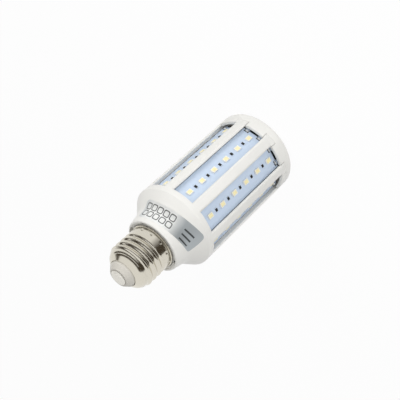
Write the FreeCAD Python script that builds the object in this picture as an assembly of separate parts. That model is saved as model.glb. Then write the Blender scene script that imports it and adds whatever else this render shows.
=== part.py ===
"""Corn LED bulb on an E27 screw cap, in millimetres.

The bulb stands on its head. The flat face of the end cap lies on z = 0, the axis is +Z, and the
centre contact of the screw cap is at the top. Strip 1 faces -Y.
"""
import FreeCAD
import Part

import math
import os

from FreeCAD import Vector

# Cage and its windows
BODY_RADIUS = 24.6
WALL = 1.8
STRIP_COUNT = 8
BAND_HEIGHT = 3.6
WEB_WIDTH = 1.76
RIB_LIP = 0.95
RIB_EASE_DEPTH = 0.8
RIB_EASE_WIDTH = 1.5
SEAM = 0.1

# End cap
CAP_RING_HEIGHT = 5.9
CAP_TAB_REACH = 3.4
CAP_PLATE = 2.0
CAP_RIM_ROUND = 1.9
HEAD_HUB_RADIUS = 6.5
HEAD_OPENING_LENGTH = 9.5
HEAD_SPOKE_WIDTH = 4.0
CAP_POST_WIDTH = 2.6
CAP_POST_DEPTH = 1.4

# Flare and neck
FLARE_HEIGHT = 8.05
FLARE_FILLET = 8.0
NECK_DRAFT = 1.7
NECK_HEIGHT = 8.7
NECK_ROUND = 1.3
NECK_RECESS = 0.3
NECK_RECESS_WIDTH = 1.75
NECK_NOTCH_COUNT = 6
NECK_NOTCH_ANGLE = 16.0
NECK_NOTCH_DEPTH = 1.2
SPIGOT_HEIGHT = 13.0
SPIGOT_WALL = 1.6

# Screw shell, with the rolled E27 thread as a helical ridge of flat facets
CREST_RADIUS = 13.2
THREAD_DEPTH = 1.1
THREAD_PITCH = 3.629
THREAD_TURNS = 2.625
THREAD_FACETS = 24
THREAD_LEAD_IN = 1.0
THREAD_LEAD_OUT = 1.274
THREAD_START_ANGLE = 81.0
COLLAR_STEP = 0.25
COLLAR_HEIGHT = 6.4
SHELL_WALL = 0.45
SHELL_FIT = 0.1
DOME_HEIGHT = 4.7
DOME_SHOULDER = 1.1
DOME_RISE = 2.3
DOME_ROUND = 3.0
DOME_HOLE_RADIUS = 7.9

# Insulator and centre contact
INSULATOR_HEIGHT = 3.1
INSULATOR_END_RADIUS = 5.2
INSULATOR_PLUG = 4.0
CONTACT_RADIUS = 4.6
CONTACT_HEIGHT = 0.9
RIVET_RADIUS = 1.2
RIVET_REACH = 1.5

# Strip boards and what is soldered on them
BOARD_RECESS = 3.94
BOARD_THICKNESS = 1.0
BOARD_GRIP = 0.9
BOARD_TUCK = 2.35
BOARD_FIT = 0.1
SLOT_ROOM = 1.7
BOARD_HEAD_GAP = 1.5
LED_COUNT = 6
LED_PITCH = 10.32
LED_HEAD_MARGIN = 4.35
LED_BASE_MARGIN = 6.4
LED_LENGTH = 3.5
LED_WIDTH = 2.8
LED_HEIGHT = 0.75
LED_FRAME = 0.35
PHOSPHOR_THICKNESS = 0.1
RESISTOR_LENGTH = 2.0
RESISTOR_WIDTH = 1.3
RESISTOR_HEIGHT = 0.5

# Top board behind the head openings
TOP_BOARD_STEP = 0.5
TAB_WIDTH = 2.3
TAB_INSET = 0.8
TAB_PROUD = 0.3
SOLDER_HEIGHT = 0.65
SOLDER_LENGTH = 1.0

# Driver in the neck and cage
DRIVER_SIDE_GAP = 2.2
DRIVER_HEIGHT = 34.0
DRIVER_THICKNESS = 1.6
RAIL_GRIP = 0.8
RAIL_THICKNESS = 1.2
DROPPER_WIDTH = 17.5
DROPPER_DEPTH = 7.5
DROPPER_HEIGHT = 13.0
SMOOTHING_RADIUS = 4.0
SMOOTHING_HEIGHT = 14.0
RECTIFIER_WIDTH = 4.7
RECTIFIER_DEPTH = 2.5
RECTIFIER_HEIGHT = 4.0
FUSE_RADIUS = 1.4
FUSE_LENGTH = 8.0
BLEED_WIDTH = 3.2
BLEED_DEPTH = 0.6
BLEED_HEIGHT = 1.6
LEAD_RADIUS = 0.45
LEAD_JOINT = 3.0

# Small clearances, and the chords that each rounding is cut in
FIT = 0.1
CUT_OVER = 1.0
ROUND_STEPS = 2
MITRED = 1

# Heights along the axis, from the head
rib_end_z = CAP_RING_HEIGHT + SEAM
tab_end_z = CAP_RING_HEIGHT + CAP_TAB_REACH
led_first_z = tab_end_z + LED_HEAD_MARGIN
led_last_z = led_first_z + LED_PITCH * (LED_COUNT - 1)
window_end_z = led_last_z + LED_BASE_MARGIN
crease_z = window_end_z + BAND_HEIGHT
neck_root_z = crease_z + FLARE_HEIGHT
neck_end_z = neck_root_z + NECK_HEIGHT
neck_floor_z = neck_end_z - WALL
shell_start_z = neck_end_z - NECK_RECESS + FIT / 2
spigot_end_z = neck_end_z + SPIGOT_HEIGHT
collar_end_z = neck_end_z + COLLAR_HEIGHT
thread_start_z = collar_end_z + THREAD_LEAD_IN
thread_end_z = thread_start_z + THREAD_TURNS * THREAD_PITCH + THREAD_LEAD_OUT
dome_end_z = thread_end_z + DOME_HEIGHT
insulator_end_z = dome_end_z + INSULATOR_HEIGHT
contact_end_z = insulator_end_z + CONTACT_HEIGHT
plug_low_z = dome_end_z - INSULATOR_PLUG
rivet_foot_z = plug_low_z - RIVET_REACH

# Radii and widths that follow from the sizes above
half_step = math.radians(180.0 / STRIP_COUNT)
board_face = BODY_RADIUS - BOARD_RECESS
board_back = board_face - BOARD_THICKNESS
led_face = board_face + LED_HEIGHT
slot_half_width = (board_back - BOARD_FIT) * math.tan(half_step) - WEB_WIDTH / 2 / math.cos(half_step)
board_width = 2 * (slot_half_width - BOARD_FIT)
window_width = board_width - 2 * BOARD_GRIP
cage_bore = board_back - BOARD_FIT - RIB_LIP
top_board_corner = (board_back - BOARD_FIT) / math.cos(half_step)
collar_radius = CREST_RADIUS - COLLAR_STEP
recess_radius = collar_radius + NECK_RECESS_WIDTH
neck_end_radius = recess_radius + NECK_ROUND
neck_root_radius = neck_end_radius + NECK_DRAFT
neck_bore = neck_end_radius - WALL
driver_width = 2 * (neck_bore - DRIVER_SIDE_GAP)
top_led_radius = HEAD_HUB_RADIUS + HEAD_OPENING_LENGTH / 2
thread_root = CREST_RADIUS - THREAD_DEPTH
thread_seat = thread_root * math.cos(math.pi / THREAD_FACETS) - FIT / 2
shell_bore = thread_root - SHELL_WALL
spigot_radius = shell_bore - SHELL_FIT
spigot_bore = spigot_radius - SPIGOT_WALL

# Boards along the axis
board_head_z = CAP_RING_HEIGHT + BOARD_HEAD_GAP
board_base_z = window_end_z + BOARD_TUCK
top_board_low_z = board_head_z + TOP_BOARD_STEP
top_board_high_z = top_board_low_z + BOARD_THICKNESS

# Driver
driver_high_z = neck_floor_z - FIT
driver_low_z = driver_high_z - DRIVER_HEIGHT

strip_angles = [-90.0 + 360.0 * index / STRIP_COUNT for index in range(STRIP_COUNT)]
rib_angles = [angle + 180.0 / STRIP_COUNT for angle in strip_angles]


def rounded_wire(corners):
    """Closed wire through (point, rounding) corners, each rounding a row of chords on its arc."""
    count = len(corners)
    points = []
    for index, (corner, rounding) in enumerate(corners):
        if rounding <= 0:
            points.append(corner)
            continue
        back = corners[index - 1][0] - corner
        ahead = corners[(index + 1) % count][0] - corner
        half_angle = back.getAngle(ahead) / 2
        reach = min(rounding / math.tan(half_angle), back.Length / 2, ahead.Length / 2)
        radius = reach * math.tan(half_angle)
        back.normalize()
        ahead.normalize()
        bisector = (back + ahead).normalize()
        centre = corner + bisector * (radius / math.sin(half_angle))
        across = (ahead - back).normalize()
        for step in range(ROUND_STEPS + 1):
            turn = (2 * step / ROUND_STEPS - 1) * (math.pi / 2 - half_angle)
            points.append(centre - bisector * (radius * math.cos(turn)) + across * (radius * math.sin(turn)))
    return Part.makePolygon(points + points[:1])


def turned(corners, angle=360.0):
    """Solid of revolution about Z from (radius, z) or (radius, z, rounding) corners."""
    points = [(Vector(corner[0], 0, corner[1]), (corner + (0,))[2]) for corner in corners]
    face = Part.Face(rounded_wire(points))
    return face.revolve(Vector(0, 0, 0), Vector(0, 0, 1), angle)


def ring_sector(inner, outer, low, high, centre, span):
    """Part of a ring between two angles, centred on an angle."""
    sector = turned([(inner, low), (outer, low), (outer, high), (inner, high)], span)
    return about_axis(sector, centre - span / 2)


def about_axis(shape, angle):
    copy = shape.copy()
    copy.rotate(Vector(0, 0, 0), Vector(0, 0, 1), angle)
    return copy


def radial_box(inner, outer, width, low, high, lateral=0.0):
    """Box whose faces look along X, from one distance from the axis to another."""
    corner = Vector(inner, lateral - width / 2, low)
    return Part.makeBox(outer - inner, width, high - low, corner)


def around(shape, angles):
    return [about_axis(shape, angle) for angle in angles]


def lead(points):
    """Round lead along straight runs with mitred bends."""
    circle = Part.Wire(Part.makeCircle(LEAD_RADIUS, points[0], points[1] - points[0]))
    return Part.makePolygon(points).makePipeShell([circle], True, False, MITRED)


def save(name, solids):
    """Write one node, a single solid or a group of separate solids."""
    shape = solids if isinstance(solids, Part.Shape) else Part.makeCompound(solids)
    shape.exportStep("parts/" + name + ".step")


def flare_inner_z(radius):
    """Height at which the flare's inner face, one wall inside the outer one, has a radius."""
    run = BODY_RADIUS - neck_root_radius
    slant = math.hypot(run, FLARE_HEIGHT)
    inset = WALL * slant / FLARE_HEIGHT
    return crease_z + (BODY_RADIUS - inset - radius) * FLARE_HEIGHT / run


def housing():
    """Neck, flare, band and ribs as one moulding."""
    body = turned([
        (BODY_RADIUS, rib_end_z),
        (BODY_RADIUS, crease_z),
        (neck_root_radius, neck_root_z, FLARE_FILLET),
        (neck_end_radius, neck_end_z, NECK_ROUND),
        (recess_radius, neck_end_z),
        (recess_radius, neck_end_z - NECK_RECESS),
        (spigot_radius, neck_end_z - NECK_RECESS),
        (spigot_radius, spigot_end_z),
        (spigot_bore, spigot_end_z),
        (spigot_bore, neck_floor_z),
        (neck_bore, neck_floor_z),
        (neck_bore, flare_inner_z(neck_bore)),
        (cage_bore, flare_inner_z(cage_bore)),
        (cage_bore, rib_end_z),
    ])
    window = radial_box(
        cage_bore - CUT_OVER, BODY_RADIUS + CUT_OVER, window_width, rib_end_z - CUT_OVER, window_end_z
    )
    slot = radial_box(
        board_back - BOARD_FIT,
        board_face + SLOT_ROOM,
        board_width + 2 * BOARD_FIT,
        rib_end_z - CUT_OVER,
        board_base_z + BOARD_FIT,
    )
    seat = Part.makeCylinder(
        top_board_corner + FIT,
        top_board_high_z + FIT / 2 - rib_end_z + CUT_OVER,
        Vector(0, 0, rib_end_z - CUT_OVER),
    )
    notch = ring_sector(
        collar_radius + NECK_RECESS_WIDTH / 4,
        recess_radius - FIT,
        neck_end_z - NECK_RECESS - NECK_NOTCH_DEPTH,
        neck_end_z,
        0,
        NECK_NOTCH_ANGLE,
    )
    notch_angles = [360.0 * index / NECK_NOTCH_COUNT for index in range(NECK_NOTCH_COUNT)]
    cuts = around(window, strip_angles) + around(slot, strip_angles) + around(rib_ease(), strip_angles)
    cuts += around(notch, notch_angles) + [seat]
    return body.cut(Part.makeCompound(cuts)).fuse(driver_rails()).removeSplitter()


def rib_ease():
    """Cutter that eases the outer edges of the two ribs beside a window."""
    near = window_width / 2
    far = near + RIB_EASE_WIDTH
    low = math.sqrt(BODY_RADIUS ** 2 - near ** 2) - RIB_EASE_DEPTH
    high = math.sqrt(BODY_RADIUS ** 2 - far ** 2)
    wide = far + CUT_OVER
    rim = high + (high - low) * CUT_OVER / RIB_EASE_WIDTH
    top = BODY_RADIUS + CUT_OVER
    points = [(low, near), (rim, wide), (top, wide), (top, -wide), (rim, -wide), (low, -near), (low, near)]
    outline = Part.makePolygon([Vector(reach, side, tab_end_z) for reach, side in points])
    return Part.Face(outline).extrude(Vector(0, 0, window_end_z - tab_end_z))


def driver_rails():
    """Two pairs of rails in the neck that hold the driver board by its edges."""
    low = flare_inner_z(neck_bore)
    rails = []
    for side in (0.0, 180.0):
        for face in (-1, 1):
            rail = radial_box(
                driver_width / 2 - RAIL_GRIP,
                neck_bore + WALL / 2,
                RAIL_THICKNESS,
                low,
                neck_floor_z,
                face * (DRIVER_THICKNESS / 2 + FIT + RAIL_THICKNESS / 2),
            )
            rails.append(about_axis(rail, side))
    return rails


def head_opening():
    """Straight-sided opening between two spokes, facing along X."""
    corners = []
    for distance in (HEAD_HUB_RADIUS, HEAD_HUB_RADIUS + HEAD_OPENING_LENGTH):
        half_width = distance * math.tan(half_step) - HEAD_SPOKE_WIDTH / 2 / math.cos(half_step)
        corners.append((Vector(distance, half_width, -CUT_OVER), 0))
        corners.append((Vector(distance, -half_width, -CUT_OVER), 0))
    corners[2:] = corners[:1:-1]
    return Part.Face(rounded_wire(corners)).extrude(Vector(0, 0, CAP_PLATE + 2 * CUT_OVER))


def end_cap():
    """Cap with a rounded rim, openings over the top LEDs and tabs between the rib ends."""
    cup = turned([
        (0, 0),
        (BODY_RADIUS, 0, CAP_RIM_ROUND),
        (BODY_RADIUS, tab_end_z),
        (BODY_RADIUS - WALL, tab_end_z),
        (BODY_RADIUS - WALL, CAP_PLATE),
        (0, CAP_PLATE),
    ])
    rib_room = turned([
        (BODY_RADIUS - 2 * WALL, CAP_RING_HEIGHT),
        (BODY_RADIUS + CUT_OVER, CAP_RING_HEIGHT),
        (BODY_RADIUS + CUT_OVER, tab_end_z + CUT_OVER),
        (BODY_RADIUS - 2 * WALL, tab_end_z + CUT_OVER),
    ])
    tab = radial_box(
        0, BODY_RADIUS + 2 * CUT_OVER, window_width - 2 * SEAM, 0, tab_end_z + 2 * CUT_OVER
    )
    rib_room = rib_room.cut(Part.makeCompound(around(tab, strip_angles)))
    opening = head_opening()
    openings = Part.makeCompound(around(opening, strip_angles))
    post = radial_box(
        cage_bore - CAP_POST_DEPTH,
        cage_bore,
        CAP_POST_WIDTH,
        CAP_PLATE / 2,
        top_board_low_z - FIT / 2,
    )
    return cup.cut(rib_room).cut(openings).fuse(around(post, rib_angles)).removeSplitter()


def facet(*points):
    return Part.Face(Part.makePolygon(list(points) + [points[0]]))


def quad(first, second, third, fourth):
    """Two facets between four points that need not lie in one plane."""
    return [facet(first, second, third), facet(first, third, fourth)]


def on_helix(radius, step, rise=0.0):
    """Point at one step round the helix of the thread."""
    angle = math.radians(THREAD_START_ANGLE + 360.0 * step / THREAD_FACETS)
    height = thread_start_z + THREAD_PITCH * (step / THREAD_FACETS + rise)
    return Vector(radius * math.cos(angle), radius * math.sin(angle), height)


def thread_sleeve():
    """Turns of the thread side by side in flat facets, with their feet in the wall of the shell."""
    steps = round(THREAD_TURNS * THREAD_FACETS)
    last = steps + THREAD_FACETS
    foot = [on_helix(thread_root - SHELL_WALL / 2, step, -0.5) for step in range(last + 1)]
    root = [on_helix(thread_root, step, -0.5) for step in range(last + 1)]
    crest = [on_helix(CREST_RADIUS, step) for step in range(steps + 1)]
    faces = []
    for step in range(steps):
        above = step + THREAD_FACETS
        faces += quad(root[step], crest[step], crest[step + 1], root[step + 1])
        faces += quad(crest[step], root[above], root[above + 1], crest[step + 1])
        faces += quad(foot[step], foot[step + 1], foot[above + 1], foot[above])
    for step in list(range(THREAD_FACETS)) + list(range(steps, last)):
        faces += quad(foot[step], root[step], root[step + 1], foot[step + 1])
    for step in (0, steps):
        above = step + THREAD_FACETS
        faces.append(facet(foot[step], root[step], crest[step], root[above], foot[above]))
    skin = Part.Compound(faces)
    skin.sewShape()
    return Part.Solid(skin.Shells[0])


def screw_shell():
    """Shell with its collar, its thread and a rounded end."""
    shell = turned([
        (shell_bore, shell_start_z),
        (collar_radius, shell_start_z),
        (collar_radius, collar_end_z),
        (thread_seat, collar_end_z + THREAD_DEPTH - COLLAR_STEP),
        (thread_seat, thread_end_z),
        (thread_root - DOME_SHOULDER, thread_end_z + DOME_RISE, DOME_ROUND),
        (DOME_HOLE_RADIUS, dome_end_z),
        (DOME_HOLE_RADIUS, thread_end_z),
        (shell_bore, thread_end_z),
    ])
    return shell.fuse(thread_sleeve())


def cap_insulator():
    """Tapered insulator that fills the hole in the shell's rounded end."""
    plug = DOME_HOLE_RADIUS - SHELL_FIT
    return turned([
        (RIVET_RADIUS + SHELL_FIT, plug_low_z),
        (plug, plug_low_z),
        (plug, dome_end_z),
        (INSULATOR_END_RADIUS, insulator_end_z),
        (RIVET_RADIUS + SHELL_FIT, insulator_end_z),
    ])


def centre_contact():
    """Rivet with a flat raised head."""
    return turned([
        (0, rivet_foot_z),
        (RIVET_RADIUS, rivet_foot_z),
        (RIVET_RADIUS, insulator_end_z),
        (CONTACT_RADIUS, insulator_end_z),
        (CONTACT_RADIUS, contact_end_z),
        (0, contact_end_z),
    ])


def tab_places():
    """Middles of the two tabs, each a little inside the edge of the window."""
    lateral = window_width / 2 - TAB_INSET - TAB_WIDTH / 2
    return (-lateral, lateral)


def strip_board():
    """Board with two notches at its head end for the tabs of the top board."""
    board = radial_box(board_back, board_face, board_width, board_head_z, board_base_z)
    for lateral in tab_places():
        board = board.cut(radial_box(
            board_back - CUT_OVER,
            board_face + CUT_OVER,
            TAB_WIDTH + 2 * FIT,
            board_head_z - CUT_OVER,
            top_board_high_z + FIT,
            lateral,
        ))
    return board


def led_places():
    return [led_first_z + LED_PITCH * index for index in range(LED_COUNT)]


def led_frame(z):
    """LED package on a strip, long side along the axis."""
    return radial_box(board_face, led_face, LED_WIDTH, z - LED_LENGTH / 2, z + LED_LENGTH / 2)


def led_fill(z):
    """Phosphor on the face of the package, inside its frame."""
    half_length = LED_LENGTH / 2 - LED_FRAME
    return radial_box(
        led_face, led_face + PHOSPHOR_THICKNESS, LED_WIDTH - 2 * LED_FRAME, z - half_length, z + half_length
    )


def resistor(z):
    """Chip resistor set across the strip."""
    return radial_box(
        board_face,
        board_face + RESISTOR_HEIGHT,
        RESISTOR_LENGTH,
        z - RESISTOR_WIDTH / 2,
        z + RESISTOR_WIDTH / 2,
    )


def top_board():
    """Board with a straight side at each strip, and tabs that pass through the strips' notches."""
    corners = [about_axis(Part.Vertex(top_board_corner, 0, top_board_low_z), angle).Point
               for angle in rib_angles]
    disc = Part.Face(Part.makePolygon(corners + corners[:1])).extrude(Vector(0, 0, BOARD_THICKNESS))
    tabs = []
    for lateral in tab_places():
        tab = radial_box(
            board_back - BOARD_FIT - CUT_OVER,
            board_face + TAB_PROUD,
            TAB_WIDTH,
            top_board_low_z,
            top_board_high_z,
            lateral,
        )
        tabs += around(tab, strip_angles)
    return disc.fuse(tabs).removeSplitter()


def solder_joints():
    """Joints on the outer face of the strips, over the ends of the tabs."""
    joints = []
    for lateral in tab_places():
        joint = radial_box(
            board_face,
            board_face + SOLDER_HEIGHT,
            TAB_WIDTH,
            top_board_high_z + FIT,
            top_board_high_z + FIT + SOLDER_LENGTH,
            lateral,
        )
        joints += around(joint, strip_angles)
    return joints


def top_led(margin, low, high):
    """Package of a top LED, or its phosphor, which a margin keeps inside the frame."""
    inner = top_led_radius - LED_LENGTH / 2 + margin
    outer = top_led_radius + LED_LENGTH / 2 - margin
    return around(radial_box(inner, outer, LED_WIDTH - 2 * margin, low, high), strip_angles)


def driver_board():
    corner = Vector(-driver_width / 2, -DRIVER_THICKNESS / 2, driver_low_z)
    return Part.makeBox(driver_width, DRIVER_THICKNESS, DRIVER_HEIGHT, corner)


def on_driver(width, depth, height, x, low, front):
    """Box that stands on the front or the back of the driver board."""
    y = -DRIVER_THICKNESS / 2 - depth if front else DRIVER_THICKNESS / 2
    return Part.makeBox(width, depth, height, Vector(x - width / 2, y, low))


def smoothing_capacitor():
    centre = Vector(
        driver_width / 4, -DRIVER_THICKNESS / 2 - SMOOTHING_RADIUS, driver_low_z + WALL
    )
    return Part.makeCylinder(SMOOTHING_RADIUS, SMOOTHING_HEIGHT, centre)


def fuse_resistor():
    start = Vector(
        -driver_width / 4 - FUSE_LENGTH / 2,
        -DRIVER_THICKNESS / 2 - FUSE_RADIUS,
        driver_high_z - 2 * FUSE_RADIUS,
    )
    return Part.makeCylinder(FUSE_RADIUS, FUSE_LENGTH, start, Vector(1, 0, 0))


def contact_lead():
    """Lead up from the driver board, along the side of the rivet's foot."""
    y = DRIVER_THICKNESS / 2 + LEAD_RADIUS
    x = math.sqrt((RIVET_RADIUS + LEAD_RADIUS) ** 2 - y ** 2)
    return lead([Vector(x, y, driver_high_z - LEAD_JOINT), Vector(x, y, plug_low_z - FIT)])


def shell_lead():
    """Lead up from the driver board and over the end of the spigot to the wall of the shell."""
    y = -DRIVER_THICKNESS / 2 - LEAD_RADIUS
    bend_z = spigot_end_z + LEAD_RADIUS
    return lead([
        Vector(0, y, driver_high_z - LEAD_JOINT),
        Vector(0, y, bend_z),
        Vector(0, -math.sqrt(shell_bore ** 2 - LEAD_RADIUS ** 2), bend_z),
    ])


def supply_lead(side):
    """Lead from the low end of the driver board to the top board."""
    y = DRIVER_THICKNESS / 2 + LEAD_RADIUS
    x = side * (DROPPER_WIDTH + driver_width) / 4
    return lead([Vector(x, y, driver_low_z + LEAD_JOINT), Vector(x, y, top_board_high_z)])


def main():
    os.makedirs("parts", exist_ok=True)
    save("housing", housing())
    save("end_cap", end_cap())
    save("screw_shell", screw_shell())
    save("cap_insulator", cap_insulator())
    save("centre_contact", centre_contact())
    for number, angle in enumerate(strip_angles, 1):
        resistor_places = [z + LED_PITCH / 2 for z in led_places()[:-1]]
        save(f"strip_board_{number}", about_axis(strip_board(), angle))
        save(f"strip_leds_{number}", [about_axis(led_frame(z), angle) for z in led_places()])
        save(f"strip_phosphors_{number}", [about_axis(led_fill(z), angle) for z in led_places()])
        save(f"strip_resistors_{number}", [about_axis(resistor(z), angle) for z in resistor_places])
    save("top_board", top_board())
    save("solder_joints", solder_joints())
    top_face = top_board_low_z - LED_HEIGHT
    save("top_leds", top_led(0, top_face, top_board_low_z))
    save("top_phosphors", top_led(LED_FRAME, top_face - PHOSPHOR_THICKNESS, top_face))
    save("driver_board", driver_board())
    dropper_low = driver_low_z + WALL
    save("dropper_capacitor", on_driver(
        DROPPER_WIDTH, DROPPER_DEPTH, DROPPER_HEIGHT, 0, dropper_low, False
    ))
    save("smoothing_capacitor", smoothing_capacitor())
    rectifier_low = driver_low_z + SMOOTHING_HEIGHT + 2 * WALL
    save("bridge_rectifier", on_driver(
        RECTIFIER_WIDTH, RECTIFIER_DEPTH, RECTIFIER_HEIGHT, 0, rectifier_low, True
    ))
    save("fuse_resistor", fuse_resistor())
    bleed_x = driver_width / 4
    save("bleed_resistors", [
        on_driver(BLEED_WIDTH, BLEED_DEPTH, BLEED_HEIGHT, x, rectifier_low, True)
        for x in (-bleed_x, bleed_x)
    ])
    save("contact_lead", contact_lead())
    save("shell_lead", shell_lead())
    save("supply_lead_red", supply_lead(1))
    save("supply_lead_black", supply_lead(-1))


main()
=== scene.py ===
"""Dress a corn LED bulb: moulded cage, rolled screw cap, LED strips, label foil and a studio."""

import math

import bpy
from bpy.props import FloatProperty, FloatVectorProperty, IntProperty, PointerProperty
from bpy.types import Operator, Panel, PropertyGroup
from mathutils import Matrix, Vector


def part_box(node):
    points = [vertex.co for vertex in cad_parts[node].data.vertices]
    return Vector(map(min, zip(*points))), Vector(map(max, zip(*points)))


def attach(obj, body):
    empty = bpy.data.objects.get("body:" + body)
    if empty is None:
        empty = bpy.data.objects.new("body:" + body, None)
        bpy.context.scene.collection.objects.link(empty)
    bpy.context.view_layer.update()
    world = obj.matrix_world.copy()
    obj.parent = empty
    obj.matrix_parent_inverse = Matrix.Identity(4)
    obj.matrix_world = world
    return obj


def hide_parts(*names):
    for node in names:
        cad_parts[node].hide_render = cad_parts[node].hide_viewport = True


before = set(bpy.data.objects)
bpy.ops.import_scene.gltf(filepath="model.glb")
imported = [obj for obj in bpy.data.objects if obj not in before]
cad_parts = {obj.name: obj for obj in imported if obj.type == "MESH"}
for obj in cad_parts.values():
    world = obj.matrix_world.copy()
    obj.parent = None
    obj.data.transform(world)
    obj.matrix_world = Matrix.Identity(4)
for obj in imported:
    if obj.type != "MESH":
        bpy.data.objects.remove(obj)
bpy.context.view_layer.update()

bl_info = {
    "name": "Corn LED Bulb",
    "version": (1, 0, 0),
    "blender": (4, 5, 0),
    "location": "3D View > Sidebar > Bulb",
    "description": "Models the visible pieces of a corn LED bulb around its solids",
    "category": "Object",
}

MM = 0.001
BODY = "root"
STRIPS = 8
STRIP_STEP = 2 * math.pi / STRIPS
FIRST_STRIP = -math.pi / 2

# Sizes that the solids give, in metres
HOUSING_LOW, HOUSING_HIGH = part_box("housing")
CAP_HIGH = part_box("end_cap")[1]
SHELL_LOW, SHELL_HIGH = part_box("screw_shell")
INSULATOR_LOW, INSULATOR_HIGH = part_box("cap_insulator")
CONTACT_LOW, CONTACT_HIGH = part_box("centre_contact")
STRIP_LOW, STRIP_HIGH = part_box("strip_board_1")
LED_LOW, LED_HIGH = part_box("strip_leds_1")
RESISTOR_LOW, RESISTOR_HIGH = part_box("strip_resistors_1")
TOP_BOARD_LOW, TOP_BOARD_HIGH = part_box("top_board")
SOLDER_LOW, SOLDER_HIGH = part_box("solder_joints")


def length(millimetres, words):
    """Length property whose default is given in millimetres."""
    return FloatProperty(description=words, default=millimetres * MM, unit="LENGTH", precision=5)


def arc(degrees, words):
    """Angle property whose default is given in degrees."""
    return FloatProperty(description=words, default=math.radians(degrees), subtype="ANGLE")


def linear(hex_colour):
    """Linear colour of an sRGB hex value."""
    parts = [int(hex_colour[place:place + 2], 16) / 255 for place in (1, 3, 5)]
    return [p / 12.92 if p <= 0.04045 else ((p + 0.055) / 1.055) ** 2.4 for p in parts]


def colour(hex_colour, words):
    """Colour property whose default is an sRGB hex value."""
    return FloatVectorProperty(description=words, default=linear(hex_colour), subtype="COLOR", min=0, max=1)


def settings_of(context):
    """Sizes and colours that the scene holds."""
    return context.scene.bulb_sizes, context.scene.bulb_colours


class BulbSizes(PropertyGroup):
    """Sizes of the pieces that the scene models."""
    body_radius: length(24.6, "Outer radius of the cage and the end cap")
    wall: length(1.8, "Wall of the moulded pieces")
    window_width: length(12.27, "Width of each window between the ribs")
    board_width: length(14.07, "Width of a strip board")
    # Width of the painted shade along each long edge of a strip, where it meets a rib
    shaded_edge: length(0.55, "Width of the bare edge of a strip beyond its lacquer")
    cage_bore: length(18.61, "Radius inside the ribs")
    slot_room: length(1.7, "Room in front of a board in the slots of the ribs")
    ease_depth: length(0.8, "Depth of the eased edges of the ribs at the windows")
    ease_width: length(1.5, "Width over which the ribs are eased")
    tab_gap: length(0.32, "Gap between a tab of the end cap and the ribs beside it")
    window_end: length(71.65, "Height at which the windows end below the flare")
    crease: length(75.25, "Height at which the flare starts")
    neck_root: length(83.3, "Height at which flare and neck meet")
    neck_root_radius: length(17.7, "Radius where flare and neck meet")
    neck_end: length(92.0, "Height of the neck's rim")
    neck_end_radius: length(16.0, "Radius of the neck at its rim")
    flare_fillet: length(8.0, "Fillet between flare and neck")
    crease_round: length(0.7, "Rounding of the crease")
    recess_radius: length(14.7, "Radius of the recess round the shell")
    recess_depth: length(0.6, "Depth of the recess round the shell")
    groove_radius: length(13.7, "Radius of the groove under the lip of the shell")
    groove_depth: length(0.9, "Depth of that groove below the recess")
    spigot_radius: length(11.55, "Radius of the spigot inside the shell")
    notch_depth: length(2.0, "Depth of the notches in the recess")
    notch_width: length(4.22, "Width of the notches in the recess")
    rim_round: length(1.9, "Rounding of the end cap's rim")
    ring_height: length(5.9, "Height of the end cap's closed ring")
    hub_radius: length(6.5, "Distance of the head openings from the axis")
    opening_length: length(9.5, "Length of each head opening outwards")
    spoke_width: length(4.0, "Width between two head openings")
    collar_radius: length(12.95, "Radius of the plain collar of the shell")
    collar_end: length(98.4, "Height at which the thread starts")
    thread_end: length(110.2, "Height at which the thread ends")
    crest_radius: length(13.2, "Radius over the thread's crests")
    thread_depth: length(1.1, "Depth of the rolled thread")
    thread_pitch: length(3.629, "Rise of the thread in one turn")
    dome_hole: length(7.9, "Radius of the hole in the shell's rounded end")
    dimple_height: length(94.3, "Height of the ring of staking dimples")
    dimple_depth: length(0.38, "Depth of each staking dimple")
    dimple_count: IntProperty(description="Staking dimples round the collar", default=13)
    led_pitch: length(10.32, "Distance between two LEDs on a strip")
    led_count: IntProperty(description="LEDs on each strip", default=6)
    led_length: length(3.5, "Length of an LED case")
    led_width: length(2.8, "Width of an LED case")
    led_frame: length(0.35, "Rim of an LED case round its phosphor")
    resistor_width: length(1.3, "Size of a chip resistor along the strip")
    label_tilt: arc(16.7, "Slope of the label's edges")
    label_towards: arc(-75.3, "Side on which the label stands highest")
    label_centre: arc(-96.4, "Side on which the low edge of the label is stuck")
    label_lean: arc(-5.6, "Turn from the low edge's middle to that of the high edge")
    label_span: arc(104.0, "Angle that the low edge covers")
    label_spread: arc(26.6, "Further angle that the high edge covers on the neck")
    label_low: length(74.1, "Height at which the plane of the low edge crosses the axis")
    label_high: length(84.6, "Height at which the plane of the high edge crosses the axis")


class BulbColours(PropertyGroup):
    """Colours of the finishes."""
    plastic: colour("#ECEBE7", "Moulded ABS of the cage and cap")
    plastic_shade: colour("#E4E3DE", "Slightly greyer flow of the same plastic")
    nickel: colour("#D5D0C3", "Plating of the screw shell")
    insulator: colour("#D3CFC6", "Moulded insulator of the cap")
    insulator_shade: colour("#CBC7BE", "Slightly greyer flow of the insulator")
    contact: colour("#E6E3DB", "Tinned centre contact")
    mask: colour("#CEDCEE", "White solder mask of the strips, bluish in the shade")
    mask_line: colour("#C3D3E7", "Slightly duller lacquer")
    led_case: colour("#F6F6F1", "Moulded LED case")
    phosphor: colour("#FBF4D2", "Phosphor fill")
    phosphor_deep: colour("#F4E4A0", "Phosphor over the chip")
    resistor: colour("#0D0E10", "Body of a chip resistor")
    tin: colour("#EBEDEE", "Tinned ends and solder")
    # Tone of the painted shade on the strips: over their head ends, along their edges where the ribs meet
    # them, and round the soldered pads
    painted_board_shade: colour("#1D1F21", "Bare dark end of a strip beyond its lacquer")
    # The next two tones make a painted highlight along the label: bright in its middle, dim towards its ends
    foil: colour("#F0F1EF", "Silvered label foil where it is bright")
    foil_painted_dim: colour("#B0B6B9", "Silvered label foil where it is dull")
    print_field: colour("#2B2E30", "Plain printed fields on the foil")


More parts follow.
